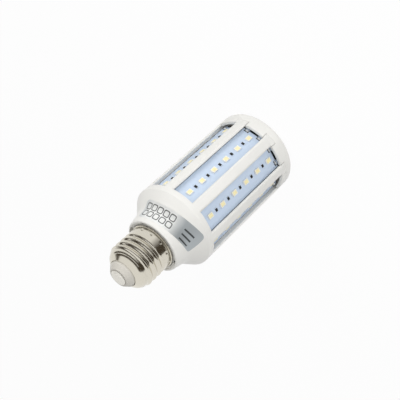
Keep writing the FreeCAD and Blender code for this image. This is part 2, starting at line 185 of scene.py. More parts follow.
class BulbStage(PropertyGroup):
    """Camera, light and floor."""
    camera_place: FloatVectorProperty(
        description="Place of the camera", default=(-0.1356, -0.3695, 0.3076), subtype="TRANSLATION")
    view_along: FloatVectorProperty(
        description="Direction of view", default=(0.2901, 0.7860, -0.5460), subtype="DIRECTION")
    view_up: FloatVectorProperty(
        description="Direction that is up in the picture", default=(0.5590, -0.6022, -0.5699),
        subtype="DIRECTION")
    lens: FloatProperty(description="Focal length for a 36 mm sensor", default=78.4)
    floor_size: FloatProperty(description="Side of the floor", default=12.0, unit="LENGTH")


# Meshes, shaped by operators

SHARP_ANGLE = math.radians(35)
SAME_PLACE = 1e-6
CUT_SLIVER = 0.03 * MM
ROUNDING_SLIVER = 0.008 * MM
EDGE_ROUNDING = 0.09 * MM


def clear_selection():
    """Leave edit mode and select nothing."""
    if bpy.context.object and bpy.context.object.mode != "OBJECT":
        bpy.ops.object.mode_set(mode="OBJECT")
    bpy.ops.object.select_all(action="DESELECT")


def make_active(piece):
    """Select one object alone."""
    clear_selection()
    piece.select_set(True)
    bpy.context.view_layer.objects.active = piece


def edit(piece):
    """Open a mesh with all of it selected."""
    make_active(piece)
    bpy.ops.object.mode_set(mode="EDIT")
    bpy.ops.mesh.select_all(action="SELECT")


def face_outwards():
    """Turn the normals of the open mesh outwards and close it."""
    bpy.ops.mesh.select_all(action="SELECT")
    bpy.ops.mesh.normals_make_consistent(inside=False)
    bpy.ops.object.mode_set(mode="OBJECT")


def apply_place(piece):
    """Move an object's place, turn and scale into its mesh."""
    make_active(piece)
    bpy.ops.object.transform_apply(location=True, rotation=True, scale=True)


def apply_modifier(piece, kind, **settings):
    """Add a modifier with its settings and apply it."""
    make_active(piece)
    bpy.ops.object.modifier_add(type=kind)
    modifier = piece.modifiers[-1]
    for key, value in settings.items():
        setattr(modifier, key, value)
    bpy.ops.object.modifier_apply(modifier=modifier.name)


def rounded(corners, steps=8):
    """Profile through (radius, height, rounding) corners, each rounding an arc of short chords."""
    largest_share = 0.49
    points = []
    for index, corner in enumerate(corners):
        here = Vector(corner[:2])
        if len(corner) < 3 or corner[2] <= 0:
            points.append(here)
            continue
        back = Vector(corners[index - 1][:2]) - here
        ahead = Vector(corners[(index + 1) % len(corners)][:2]) - here
        half = back.angle(ahead) / 2
        reach = min(corner[2] / math.tan(half), back.length * largest_share, ahead.length * largest_share)
        radius = reach * math.tan(half)
        back.normalize()
        ahead.normalize()
        inwards = (back + ahead).normalized()
        across = (ahead - back).normalized()
        centre = here + inwards * (radius / math.sin(half))
        for step in range(steps + 1):
            turn = (2 * step / steps - 1) * (math.pi / 2 - half)
            points.append(centre - inwards * (radius * math.cos(turn)) + across * (radius * math.sin(turn)))
    return points


def closed(points):
    """Points with the first one again at the end."""
    return list(points) + [points[0]]


def wire(name, points):
    """Open mesh of one line through points, all of it selected."""
    clear_selection()
    bpy.ops.mesh.primitive_plane_add(size=MM)
    piece = bpy.context.object
    piece.name = name
    bpy.ops.object.mode_set(mode="EDIT")
    bpy.ops.mesh.select_mode(type="VERT")
    bpy.ops.mesh.select_all(action="SELECT")
    bpy.ops.mesh.merge(type="CENTER")
    last = Vector((0, 0, 0))
    for index, place in enumerate(points):
        point = Vector(place)
        if index == 0:
            bpy.ops.transform.translate(value=point)
        else:
            bpy.ops.mesh.extrude_region_move(TRANSFORM_OT_translate={"value": point - last})
        last = point
    bpy.ops.mesh.select_all(action="SELECT")
    return piece


def turned(name, profile, steps):
    """Wire along a profile of (radius, height), spun about the axis."""
    piece = wire(name, [(radius, 0, height) for radius, height in profile])
    bpy.ops.mesh.spin(steps=steps, angle=2 * math.pi, center=(0, 0, 0), axis=(0, 0, 1))
    bpy.ops.mesh.select_all(action="SELECT")
    bpy.ops.mesh.remove_doubles(threshold=SAME_PLACE)
    face_outwards()
    return piece


def prism(name, outline, low, high):
    """Solid over an outline of (x, y) points, from one height to another."""
    piece = wire(name, [(x, y, low) for x, y in outline])
    bpy.ops.mesh.edge_face_add()
    bpy.ops.mesh.extrude_region_move(TRANSFORM_OT_translate={"value": (0, 0, high - low)})
    face_outwards()
    return piece


def block(name, low, high):
    """Block between two corners, with its place in its mesh."""
    clear_selection()
    low, high = Vector(low), Vector(high)
    bpy.ops.mesh.primitive_cube_add(size=1, location=(low + high) / 2)
    piece = bpy.context.object
    piece.name = name
    piece.scale = high - low
    apply_place(piece)
    return piece


def facing_block(name, near, far, width, low, high, lateral=0.0):
    """Block that faces -Y between two distances from the axis."""
    return block(name, (lateral - width / 2, -far, low), (lateral + width / 2, -near, high))


def joined(name, pieces):
    """Pieces joined in one object."""
    make_active(pieces[0])
    for piece in pieces[1:]:
        piece.select_set(True)
    bpy.ops.object.join()
    whole = bpy.context.object
    whole.name = name
    return whole


def turned_copy(piece, angle, name):
    """Copy with its own mesh, turned about the axis."""
    copy = piece.copy()
    copy.data = piece.data.copy()
    copy.name = name
    bpy.context.collection.objects.link(copy)
    copy.rotation_euler.z = angle
    apply_place(copy)
    return copy


def ring_of(piece, count, offset=0.0):
    """Copies evenly round the axis, joined in one object in place of the first."""
    name = piece.name
    copies = [turned_copy(piece, offset + 2 * math.pi * index / count, name) for index in range(count)]
    bpy.data.objects.remove(piece)
    return joined(name, copies)


def row_of(piece, count, pitch):
    """Repeat a piece along the axis, within its mesh."""
    apply_modifier(
        piece, "ARRAY", count=count, use_relative_offset=False, use_constant_offset=True,
        constant_offset_displace=(0, 0, pitch))


def cut(piece, cutter):
    """Take a cutter's form out of a piece."""
    apply_modifier(piece, "BOOLEAN", operation="DIFFERENCE", solver="EXACT", use_self=True, object=cutter)
    bpy.data.objects.remove(cutter)


def soften(piece, width, segments=2, clamp=True):
    """Round the sharp edges off a little."""
    apply_modifier(
        piece, "BEVEL", width=width, segments=segments, limit_method="ANGLE", angle_limit=SHARP_ANGLE,
        use_clamp_overlap=clamp, miter_outer="MITER_ARC")


def weld(piece, reach):
    """Join points that lie closer together than a reach, and drop faces without area."""
    edit(piece)
    bpy.ops.mesh.remove_doubles(threshold=reach)
    bpy.ops.mesh.dissolve_degenerate(threshold=reach / 4)
    face_outwards()


def break_edges(piece):
    """Weld the slivers that cuts leave, then round the sharp edges off."""
    weld(piece, CUT_SLIVER)
    soften(piece, EDGE_ROUNDING, clamp=False)
    weld(piece, ROUNDING_SLIVER)


def paint(piece, material):
    """Give an object one material."""
    piece.data.materials.clear()
    piece.data.materials.append(material)


def finish_piece(piece, material, nodes, smooth=32):
    """Shade, place, colour and register a piece."""
    apply_place(piece)
    bpy.ops.object.shade_smooth_by_angle(angle=math.radians(smooth))
    if material is not None:
        paint(piece, material)
    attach(piece, BODY)
    if nodes:
        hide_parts(*nodes)


def tab_side(sizes):
    """Distance of a soldered tab from the middle of its strip."""
    inset = 0.8 * MM
    half_tab = 1.15 * MM
    return sizes.window_width / 2 - inset - half_tab


def set_on_strips(piece, name, material, node, smooth=32):
    """A copy on each strip in place of a piece that is made for strip 1, which faces -Y."""
    for number in range(1, STRIPS + 1):
        copy = turned_copy(piece, STRIP_STEP * (number - 1), f"{name}_{number}")
        finish_piece(copy, material, [f"{node}_{number}"], smooth)
    bpy.data.objects.remove(piece)


def smooth_step(share):
    """Soft rise from nought to one."""
    share = min(max(share, 0.0), 1.0)
    return share * share * (3 - 2 * share)


# Materials

RELIEF_DEPTH = 0.02 * MM


def add_node(tree, kind, settings=None, **inputs):
    """Node with its settings, its values and its links. The names n0, n1 and so on count sockets."""
    made = tree.nodes.new(kind)
    for key, value in (settings or {}).items():
        setattr(made, key, value)
    for key, value in inputs.items():
        counted = key[0] == "n" and key[1:].isdigit()
        socket = made.inputs[int(key[1:]) if counted else key.replace("_", " ")]
        if isinstance(value, bpy.types.NodeSocket):
            tree.links.new(value, socket)
        else:
            socket.default_value = value
    return made


def maths(tree, operation, first, second=0.0):
    """Result of one sum on values or sockets."""
    return add_node(tree, "ShaderNodeMath", {"operation": operation}, n0=first, n1=second).outputs[0]


def blend(tree, share, first, second):
    """Colour between two colours."""
    return add_node(tree, "ShaderNodeMix", {"data_type": "RGBA"}, n0=share, n6=first, n7=second).outputs[2]


def ease(tree, value, low, high, start=0.0, end=1.0):
    """Value that runs from one number to another between two limits."""
    return add_node(
        tree, "ShaderNodeMapRange", Value=value, From_Min=low, From_Max=high, To_Min=start,
        To_Max=end).outputs["Result"]


def within(tree, value, low, high):
    """One between two limits and nought outside them."""
    above = maths(tree, "GREATER_THAN", value, low)
    return maths(tree, "MULTIPLY", above, maths(tree, "LESS_THAN", value, high))


def on_object(tree):
    """Place in the object's own frame."""
    return add_node(tree, "ShaderNodeTexCoord").outputs["Object"]


def apart(tree, vector):
    """The three parts of a vector."""
    return add_node(tree, "ShaderNodeSeparateXYZ", Vector=vector).outputs


def stretched(tree, vector, scale):
    """Vector whose parts are scaled each by its own factor."""
    return add_node(tree, "ShaderNodeMapping", Vector=vector, Scale=scale).outputs["Vector"]


def clouds(tree, place, size, detail=3.0):
    """Cloudy value from nought to one, with clouds of about a size."""
    return add_node(tree, "ShaderNodeTexNoise", Vector=place, Scale=1 / size, Detail=detail).outputs["Fac"]


def relief(tree, height, strength):
    """Normals of a fine relief."""
    return add_node(
        tree, "ShaderNodeBump", Height=height, Strength=strength, Distance=RELIEF_DEPTH).outputs["Normal"]


def shader(name, **values):
    """Material with a principled shader, whose fixed values sit on its own sockets."""
    material = bpy.data.materials.new(name)
    material.use_nodes = True
    tree = material.node_tree
    surface = tree.nodes["Principled BSDF"]
    for key, value in values.items():
        surface.inputs[key.replace("_", " ")].default_value = value
    return material, tree, surface


def feed(tree, surface, **values):
    """Link changing values to the sockets of a shader."""
    for key, value in values.items():
        tree.links.new(value, surface.inputs[key.replace("_", " ")])


def rgba(values):
    """Colour with full cover."""
    return (*values, 1.0)


def moulded(name, main, shade, roughness, grain, depth):
    """Injection-moulded plastic: satin, with faint flow marks and a fine spark-eroded grain."""
    material, tree, surface = shader(name, IOR=1.52)
    place = on_object(tree)
    flow = clouds(tree, place, 14 * MM)
    feed(
        tree, surface, Base_Color=blend(tree, flow, rgba(main), rgba(shade)),
        Roughness=ease(tree, flow, 0.0, 1.0, roughness - 0.05, roughness + 0.06),
        Normal=relief(tree, clouds(tree, place, grain, 2.0), depth))
    return material


def plated(name, main, roughness, streak):
    """Nickel on rolled brass: a mirror-like metal with faint drawing marks round the axis."""
    material, tree, surface = shader(name, Base_Color=rgba(main), Metallic=1.0)
    along_marks = 60
    marks = clouds(tree, stretched(tree, on_object(tree), (along_marks, along_marks, 1 / streak)), 1.0, 4.0)
    feed(
        tree, surface, Roughness=ease(tree, marks, 0.0, 1.0, roughness - 0.05, roughness + 0.07),
        Normal=relief(tree, marks, 0.06))
    return material


def dull_metal(name, main, roughness, grain):
    """Tinned surface: pale, with a slightly uneven sheen."""
    material, tree, surface = shader(name, Base_Color=rgba(main), Metallic=0.6)
    cloud = clouds(tree, on_object(tree), grain)
    feed(tree, surface, Roughness=ease(tree, cloud, 0.0, 1.0, roughness - 0.08, roughness + 0.08))
    return material


def masked_board(name, main, line, shaded, end, face, pad, edge):
    """White solder mask: a satin lacquer, with painted shade along its long edges where the ribs meet it,
    painted shade over its head end where the gap under the end cap lies in shade, and painted shadows round
    the soldered pads.
    """
    material, tree, surface = shader(name, IOR=1.5)
    blur = 0.15 * MM
    wander = 0.5 * MM
    pad_shadow_reach = 1.35 * MM
    pad_shadow_height = end + 1.75 * MM
    edge_shade_strength = 0.8
    place = on_object(tree)
    parts = apart(tree, place)
    cloud = clouds(tree, place, 1.2 * MM)
    height = maths(tree, "ADD", parts["Z"], maths(tree, "MULTIPLY", cloud, wander))
    # Distance from the middle line of the nearest strip
    angle = maths(tree, "ARCTAN2", parts["Y"], parts["X"])
    turns = maths(tree, "DIVIDE", maths(tree, "SUBTRACT", angle, FIRST_STRIP - STRIP_STEP / 2), STRIP_STEP)
    aside = maths(tree, "MULTIPLY", maths(tree, "SUBTRACT", maths(tree, "FRACT", turns), 0.5), STRIP_STEP)
    lateral = maths(tree, "ABSOLUTE", maths(tree, "MULTIPLY", maths(tree, "TANGENT", aside), face))
    from_pad = maths(tree, "ABSOLUTE", maths(tree, "SUBTRACT", lateral, pad))
    # Painted shadow round the soldered pads near the head end of the strip
    rim = ease(tree, from_pad, pad_shadow_reach, pad_shadow_reach + blur, 1.0, 0.0)
    rim = maths(tree, "MULTIPLY", rim, ease(tree, height, pad_shadow_height, pad_shadow_height + blur, 1.0, 0.0))
    # Painted shade over the head end of the strip, below a wandering line
    dark = maths(tree, "MAXIMUM", rim, ease(tree, height, end, end + blur, 1.0, 0.0))
    # Painted shade along the long edges of the strip, where it meets the ribs
    dark = maths(tree, "MAXIMUM", dark, ease(tree, lateral, edge, edge + blur, 0.0, edge_shade_strength))
    lacquer = blend(tree, cloud, rgba(main), rgba(line))
    feed(
        # The lacquer gives way to the painted shade tone wherever any of these shades falls
        tree, surface, Base_Color=blend(tree, dark, lacquer, rgba(shaded)),
        Roughness=ease(tree, cloud, 0.0, 1.0, 0.36, 0.5))
    return material


def phosphor_fill(name, rim, core):
    """Silicone with phosphor powder: matte, a little deeper in colour where the powder settles."""
    material, tree, surface = shader(
        name, Roughness=0.42, IOR=1.43, Subsurface_Weight=0.15,
        Subsurface_Radius=(0.4 * MM, 0.35 * MM, 0.2 * MM))
    powder = clouds(tree, on_object(tree), 0.9 * MM)
    feed(tree, surface, Base_Color=blend(tree, powder, rgba(rim), rgba(core)))
    return material


def speckled(name, main, roughness, grain):
    """Fired or moulded electronic part: one colour with a fine speckle."""
    material, tree, surface = shader(name, Roughness=roughness)
    darker = [0.8 * value for value in main]
    dots = clouds(tree, on_object(tree), grain, 4.0)
    feed(tree, surface, Base_Color=blend(tree, dots, rgba(main), rgba(darker)))
    return material


def foil_label(name, bright, dull, ink):
    """Silvered foil with a painted highlight along it, bright in the middle and dim towards the ends, and
    plain frames and bars printed on its own map.
    """
    material, tree, surface = shader(name, Metallic=0.45)
    chart = add_node(tree, "ShaderNodeTexCoord").outputs["UV"]
    parts = apart(tree, chart)
    along, across = parts["X"], parts["Y"]
    # Plain frames in two rows of five
    columns, first_column, column_width = 5.0, 0.43, 0.108
    rows, first_row, row_width = 2.0, 0.10, 0.40
    column = maths(tree, "DIVIDE", maths(tree, "SUBTRACT", along, first_column), column_width)
    row = maths(tree, "DIVIDE", maths(tree, "SUBTRACT", across, first_row), row_width)
    squareness = 4.0
    powers = []
    for cell in (column, row):
        centred = maths(tree, "SUBTRACT", maths(tree, "FRACT", cell), 0.5)
        powers.append(maths(tree, "POWER", maths(tree, "ABSOLUTE", centred), squareness))
    size = maths(tree, "POWER", maths(tree, "ADD", *powers), 1 / squareness)
    frame_size, full_ink, no_ink = 0.38, 0.045, 0.075
    line = maths(tree, "ABSOLUTE", maths(tree, "SUBTRACT", size, frame_size))
    frames = ease(tree, line, full_ink, no_ink, 1.0, 0.0)
    for value, count in ((column, columns), (row, rows)):
        frames = maths(tree, "MULTIPLY", frames, within(tree, value, 0.0, count))
    # Plain bars at the other end
    bar_count = 4.0
    bar_rows = maths(tree, "FRACT", maths(tree, "MULTIPLY", across, bar_count))
    bars = maths(tree, "MULTIPLY", within(tree, bar_rows, 0.34, 0.66), within(tree, across, 0.25, 1.0))
    bars = maths(tree, "MULTIPLY", bars, within(tree, along, 0.10, 0.27))
    ink_cover = 0.9
    printed = maths(tree, "MULTIPLY", maths(tree, "MAXIMUM", frames, bars), ink_cover)
    # Painted highlight along the foil: bright in the middle of its length, dim towards its ends
    sheen = maths(tree, "SUBTRACT", ease(tree, along, 0.30, 0.46), ease(tree, along, 0.86, 1.0, 0.0, 0.55))
    foil = blend(tree, sheen, rgba(dull), rgba(bright))
    streaks = clouds(tree, stretched(tree, chart, (3.0, 90.0, 1.0)), 1.0)
    feed(
        tree, surface, Base_Color=blend(tree, printed, foil, rgba(ink)),
        Roughness=ease(tree, streaks, 0.0, 1.0, 0.36, 0.52))
    return material


# Operators, one for each piece or group of like pieces

FINE_STEPS = 192
OVER = MM
GAP = 0.1 * MM


def outer_line(sizes):
    """Corners of the housing's outer line from the crease to the rim."""
    rim_round = 1.3 * MM
    return [
        (sizes.body_radius, sizes.crease, sizes.crease_round),
        (sizes.neck_root_radius, sizes.neck_root, sizes.flare_fillet),
        (sizes.neck_end_radius, sizes.neck_end, rim_round),
    ]


class BULB_OT_housing(Operator):
    """Model the cage with its windows, flare and neck"""
    bl_idname = "bulb.housing"
    bl_label = "Housing"

    def execute(self, context):
        sizes, colours = settings_of(context)
        recess = sizes.neck_end - sizes.recess_depth
        piece = turned("housing_moulding", closed(rounded(self.line(sizes, recess))), FINE_STEPS)
        below = HOUSING_LOW[2] - OVER
        window = facing_block(
            "window", sizes.cage_bore - OVER, sizes.body_radius + OVER, sizes.window_width, below,
            sizes.window_end)
        cut(piece, ring_of(window, STRIPS))
        slot = facing_block(
            "slot", -STRIP_HIGH[1] - GAP, -STRIP_LOW[1] + sizes.slot_room, sizes.board_width + 2 * GAP,
            below, STRIP_HIGH[2] + GAP)
        cut(piece, ring_of(slot, STRIPS))
        short = 0.02 * MM
        ease_cutter = prism("rib_ease", self.eased_edges(sizes), CAP_HIGH[2], sizes.window_end - short)
        cut(piece, ring_of(ease_cutter, STRIPS))
        seat_radius = 21.27 * MM
        seat_end = TOP_BOARD_HIGH[2] + GAP / 2
        seat = [(0, below), (seat_radius, below), (seat_radius, seat_end), (0, seat_end)]
        cut(piece, turned("seat", seat, 64))
        notch_count = 6
        notch = facing_block(
            "notch", sizes.collar_radius + 0.4 * MM, sizes.recess_radius + 0.45 * MM, sizes.notch_width,
            recess - sizes.notch_depth, sizes.neck_end)
        cut(piece, ring_of(notch, notch_count, math.pi / 2))
        break_edges(piece)
        plastic = moulded("moulded_abs", colours.plastic, colours.plastic_shade, 0.36, 0.35 * MM, 0.12)
        finish_piece(piece, plastic, ["housing"])
        return {"FINISHED"}

    def line(self, sizes, recess):
        """Corners of the turned form, outside first and then inside."""
        floor = sizes.neck_end - sizes.wall
        bore = sizes.neck_end_radius - sizes.wall
        spigot_bore = sizes.spigot_radius - 1.6 * MM
        slope = (sizes.body_radius - sizes.neck_root_radius) / (sizes.neck_root - sizes.crease)
        inner_crease = sizes.body_radius - sizes.wall * math.hypot(1, slope)
        flare_z = [sizes.crease + (inner_crease - radius) / slope for radius in (bore, sizes.cage_bore)]
        return [(sizes.body_radius, HOUSING_LOW[2])] + outer_line(sizes) + [
            (sizes.recess_radius, sizes.neck_end),
            (sizes.recess_radius, recess),
            (sizes.groove_radius, recess),
            (sizes.groove_radius, recess - sizes.groove_depth),
            (sizes.spigot_radius, recess - sizes.groove_depth),
            (sizes.spigot_radius, HOUSING_HIGH[2]),
            (spigot_bore, HOUSING_HIGH[2]),
            (spigot_bore, floor),
            (bore, floor),
            (bore, flare_z[0]),
            (sizes.cage_bore, flare_z[1]),
            (sizes.cage_bore, HOUSING_LOW[2]),
        ]

    def eased_edges(self, sizes):
        """Outline of the cutter that rounds the ribs off towards a window that faces -Y."""
        steps = 8
        clear = 0.03 * MM
        side = []
        for step in range(steps + 1):
            share = step / steps
            lateral = sizes.window_width / 2 + share * sizes.ease_width
            face = math.sqrt(sizes.body_radius ** 2 - lateral ** 2)
            side.append((lateral, -face + sizes.ease_depth * (1 - share) ** 2 - clear * share))
        side.append((side[-1][0], -sizes.body_radius - OVER))
        return side + [(-lateral, reach) for lateral, reach in reversed(side)]


class BULB_OT_end_cap(Operator):
    """Model the end cap with its tabs, rounded rim and head openings"""
    bl_idname = "bulb.end_cap"
    bl_label = "End cap"

    def execute(self, context):
        sizes = context.scene.bulb_sizes
        radius, top = sizes.body_radius, CAP_HIGH[2]
        inner = radius - sizes.wall
        plate = 2.0 * MM
        piece = turned("end_cap_moulding", rounded([
            (0, 0), (radius, 0, sizes.rim_round), (radius, top), (inner, top), (inner, plate, 0.5 * MM),
            (0, plate)]), FINE_STEPS)
        room = turned("rib_room", closed(rounded([
            (inner - OVER, sizes.ring_height), (radius + OVER, sizes.ring_height),
            (radius + OVER, top + OVER), (inner - OVER, top + OVER)])), 96)
        tab_width = sizes.window_width - 2 * sizes.tab_gap
        tab = facing_block("tab", 0.5 * inner, radius + 2 * OVER, tab_width, 0, top + 2 * OVER)
        cut(room, ring_of(tab, STRIPS))
        cut(piece, room)
        cut(piece, ring_of(self.opening(sizes, plate), STRIPS))
        post_near, post_far, post_width = 17.2 * MM, 18.6 * MM, 2.6 * MM
        post_end = TOP_BOARD_LOW[2] - 0.05 * MM
        post = facing_block("post", post_near, post_far, post_width, plate / 2, post_end)
        piece = joined("end_cap_moulding", [piece, ring_of(post, STRIPS, STRIP_STEP / 2)])
        break_edges(piece)
        finish_piece(piece, bpy.data.materials["moulded_abs"], ["end_cap"])
        return {"FINISHED"}

    def opening(self, sizes, plate):
        """Cutter for the opening that faces -Y, narrower towards the hub."""
        ends = (sizes.hub_radius, sizes.hub_radius + sizes.opening_length)
        half_spoke = sizes.spoke_width / 2 / math.cos(STRIP_STEP / 2)
        half = [end * math.tan(STRIP_STEP / 2) - half_spoke for end in ends]
        cutter = facing_block("opening", ends[0], ends[1], 2 * half[1], -OVER, plate + OVER)
        for vertex in cutter.data.vertices:
            if vertex.co.y > -sum(ends) / 2:
                vertex.co.x *= half[0] / half[1]
        return cutter


class BULB_OT_screw_shell(Operator):
    """Model the rolled screw shell with its lip, staked collar, helical thread and rounded end"""
    bl_idname = "bulb.screw_shell"
    bl_label = "Screw shell"

    def execute(self, context):
        sizes, colours = settings_of(context)
        root = sizes.crest_radius - sizes.thread_depth
        bore = root - 0.45 * MM
        lip = sizes.neck_end + 0.3 * MM
        first = lip + 0.5 * MM
        steps_per_dimple = 20
        profile = self.profile(sizes, root, bore, lip, first)
        piece = turned("screw_shell_rolled", closed(profile), sizes.dimple_count * steps_per_dimple)
        self.roll_thread(piece, sizes, root, first, bore)
        metal = plated("nickel_plate", colours.nickel, 0.16, 0.5 * MM)
        finish_piece(piece, metal, ["screw_shell"], 50)
        return {"FINISHED"}

    def profile(self, sizes, root, bore, lip, first):
        """Line of the shell from its lip over the wall, in short steps, to the rounded end."""
        low, dome_end = SHELL_LOW[2], SHELL_HIGH[2]
        lip_radius = sizes.collar_radius + 0.35 * MM
        line = rounded([
            (bore, low), (lip_radius, low), (lip_radius, lip, 0.2 * MM),
            (sizes.collar_radius, lip + 0.15 * MM, 0.1 * MM)], 4)
        wall_step = 0.22 * MM
        count = round((sizes.thread_end - first) / wall_step)
        for step in range(count + 1):
            line.append(Vector((sizes.collar_radius, first + (sizes.thread_end - first) * step / count)))
        shoulder = (root - 1.1 * MM, sizes.thread_end + 2.3 * MM, 3.6 * MM)
        return line + rounded([
            (root, sizes.thread_end + 0.5 * MM), shoulder,
            (sizes.dome_hole + 0.3 * MM, dome_end - 0.25 * MM, 0.5 * MM),
            (sizes.dome_hole, dome_end - 0.6 * MM), (sizes.dome_hole, sizes.thread_end),
            (bore, sizes.thread_end)], 10)

    def roll_thread(self, piece, sizes, root, first, bore):
        """Move the wall in to the helix of the thread and into the staking dimples."""
        for vertex in piece.data.vertices:
            radius = math.hypot(vertex.co.x, vertex.co.y)
            height = vertex.co.z
            inside = radius < bore + 0.2 * MM
            if inside or not first - SAME_PLACE <= height <= sizes.thread_end + SAME_PLACE:
                continue
            angle = math.atan2(vertex.co.y, vertex.co.x)
            wanted = self.wall_radius(sizes, root, angle, height)
            vertex.co.x *= wanted / radius
            vertex.co.y *= wanted / radius

    def wall_radius(self, sizes, root, angle, height):
        """Radius of the rolled wall at an angle and a height."""
        crest_shift, crest_fullness = 0.05, 0.85
        turn = (height - sizes.collar_end) / sizes.thread_pitch - angle / (2 * math.pi)
        wave = 0.5 + 0.5 * math.cos(2 * math.pi * (turn - crest_shift))
        threaded = root + sizes.thread_depth * wave ** crest_fullness
        grown = smooth_step((height - sizes.collar_end + 0.9 * MM) / (1.8 * MM))
        ended = smooth_step((sizes.thread_end + 0.2 * MM - height) / (1.6 * MM))
        wall = sizes.collar_radius + (threaded - sizes.collar_radius) * grown
        wall = root + (wall - root) * ended
        step = 2 * math.pi / sizes.dimple_count
        nearest = (angle - FIRST_STRIP + step / 2) % step - step / 2
        across = nearest * sizes.collar_radius
        away = math.hypot(across, height - sizes.dimple_height)
        dimple_reach = 0.45 * MM
        return wall - sizes.dimple_depth * math.exp(-(away / dimple_reach) ** 2)


class BULB_OT_cap_end(Operator):
    """Model the insulator and the riveted centre contact"""
    bl_idname = "bulb.cap_end"
    bl_label = "Insulator and contact"

    def execute(self, context):
        sizes, colours = settings_of(context)
        steps = 96
        rivet = 1.2 * MM
        disc = 4.6 * MM
        groove = 0.2 * MM
        plug = sizes.dome_hole - GAP
        low, edge = INSULATOR_LOW[2], INSULATOR_HIGH[2]
        shoulder = SHELL_HIGH[2] + 0.5 * MM
        insulator = turned("insulator_turned", closed(rounded([
            (rivet + GAP, low), (plug, low), (plug, shoulder, 0.8 * MM), (5.6 * MM, edge, 0.7 * MM),
            (disc + groove, edge), (disc + groove, edge - groove), (rivet + GAP, edge - groove)])), steps)
        pale = moulded("moulded_insulator", colours.insulator, colours.insulator_shade, 0.42, 0.3 * MM, 0.15)
        finish_piece(insulator, pale, ["cap_insulator"])
        foot, tip = CONTACT_LOW[2], CONTACT_HIGH[2]
        contact = turned("contact_rivet", rounded([
            (0, foot), (rivet, foot), (rivet, edge), (disc, edge), (disc, edge + 0.4 * MM, 0.25 * MM),
            (3.8 * MM, edge + 0.55 * MM, 0.6 * MM), (3.4 * MM, tip, 0.6 * MM), (0, tip)], 5), steps)
        tinned = dull_metal("tinned_contact", colours.contact, 0.42, 3 * MM)
        finish_piece(contact, tinned, ["centre_contact"])
        return {"FINISHED"}


class BULB_OT_boards(Operator):
    """Give the strip boards their lacquer and painted shade, and the top board its lacquer"""
    bl_idname = "bulb.boards"
    bl_label = "Boards"

    def execute(self, context):
        sizes, colours = settings_of(context)
        face = -STRIP_LOW[1]
        pad = tab_side(sizes)
        shades = (colours.mask, colours.mask_line, colours.painted_board_shade)
        # Painted shade covers each strip below this height and along its long edges
        shaded_end_height = 9.0 * MM
        edge = sizes.board_width / 2 - sizes.shaded_edge
        mask = masked_board("white_solder_mask", *shades, shaded_end_height, face, pad, edge)
        for number in range(1, STRIPS + 1):
            paint(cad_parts[f"strip_board_{number}"], mask)
        top_mask = masked_board("top_solder_mask", *shades, 0.0, face, pad, sizes.body_radius)
        paint(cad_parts["top_board"], top_mask)
        return {"FINISHED"}


class BULB_OT_leds(Operator):
    """Model the LED cases and their phosphor, on the strips and on the top board"""
    bl_idname = "bulb.leds"
    bl_label = "LEDs"

    def execute(self, context):
        sizes, colours = settings_of(context)
        case_white = moulded("moulded_led_case", colours.led_case, colours.plastic, 0.3, 0.2 * MM, 0.05)
        tin = dull_metal("tinned_ends", colours.tin, 0.3, 0.6 * MM)
        fill = phosphor_fill("phosphor_silicone", colours.phosphor, colours.phosphor_deep)
        near, far = -LED_HIGH[1], -LED_LOW[1]
        middle = LED_LOW[2] + sizes.led_length / 2
        case = self.case(sizes, near, far, middle, case_white, tin)
        drop = self.phosphor(sizes, far, middle)
        self.set_top(sizes, case, drop, middle, near)
        for piece in (case, drop):
            row_of(piece, sizes.led_count, sizes.led_pitch)
        set_on_strips(case, "led_cases", None, "strip_leds")
        set_on_strips(drop, "led_phosphors", fill, "strip_phosphors", 60)
        finish_piece(bpy.data.objects["top_led_cases"], None, ["top_leds"])
        finish_piece(bpy.data.objects["top_led_phosphors"], fill, ["top_phosphors"], 60)
        return {"FINISHED"}

    def case(self, sizes, near, far, middle, white, tin):
        """One case with its cup and its tinned ends, facing -Y."""
        half = sizes.led_length / 2
        cup_depth = 0.3 * MM
        cup_taper = 0.88
        case = facing_block("led_case", near, far, sizes.led_width, middle - half, middle + half)
        edit(case)
        bpy.ops.mesh.select_mode(type="FACE")
        bpy.ops.mesh.select_all(action="DESELECT")
        bpy.ops.object.mode_set(mode="OBJECT")
        for face in case.data.polygons:
            face.select = face.normal.y < -0.9
        bpy.ops.object.mode_set(mode="EDIT")
        bpy.ops.mesh.inset(thickness=sizes.led_frame)
        bpy.ops.mesh.extrude_region_move(TRANSFORM_OT_translate={"value": (0, cup_depth, 0)})
        bpy.ops.transform.resize(value=(cup_taper, 1, cup_taper))
        bpy.ops.object.mode_set(mode="OBJECT")
        soften(case, 0.07 * MM)
        paint(case, white)
        pad_height, pad_width, pad_half, pad_offset = 0.32 * MM, 1.9 * MM, 0.16 * MM, 0.14 * MM
        ends = []
        for side in (-1, 1):
            end = middle + side * (half + pad_offset)
            pad = facing_block("led_end", near, near + pad_height, pad_width, end - pad_half, end + pad_half)
            soften(pad, 0.1 * MM, 3)
            paint(pad, tin)
            ends.append(pad)
        return joined("led_case", [case] + ends)

    def phosphor(self, sizes, far, middle):
        """Fill with rounded edges, level with the rim of the case."""
        fit = 0.98
        depth = 0.3 * MM
        half = (sizes.led_length / 2 - sizes.led_frame) * fit
        width = (sizes.led_width - 2 * sizes.led_frame) * fit
        drop = facing_block("led_phosphor", far - depth, far, width, middle - half, middle + half)
        soften(drop, 0.1 * MM, 3)
        return drop

    def set_top(self, sizes, case, drop, middle, near):
        """Copies of one LED on the head side of the top board."""
        reach = sizes.hub_radius + sizes.opening_length / 2
        lay = Matrix.Translation((0, -reach, TOP_BOARD_LOW[2])) @ Matrix.Rotation(math.pi / 2, 4, "X")
        stand = Matrix.Translation((0, near, -middle))
        for piece, name in ((case, "top_led_cases"), (drop, "top_led_phosphors")):
            one = turned_copy(piece, 0.0, name)
            one.data.transform(lay @ stand)
            ring_of(one, STRIPS)


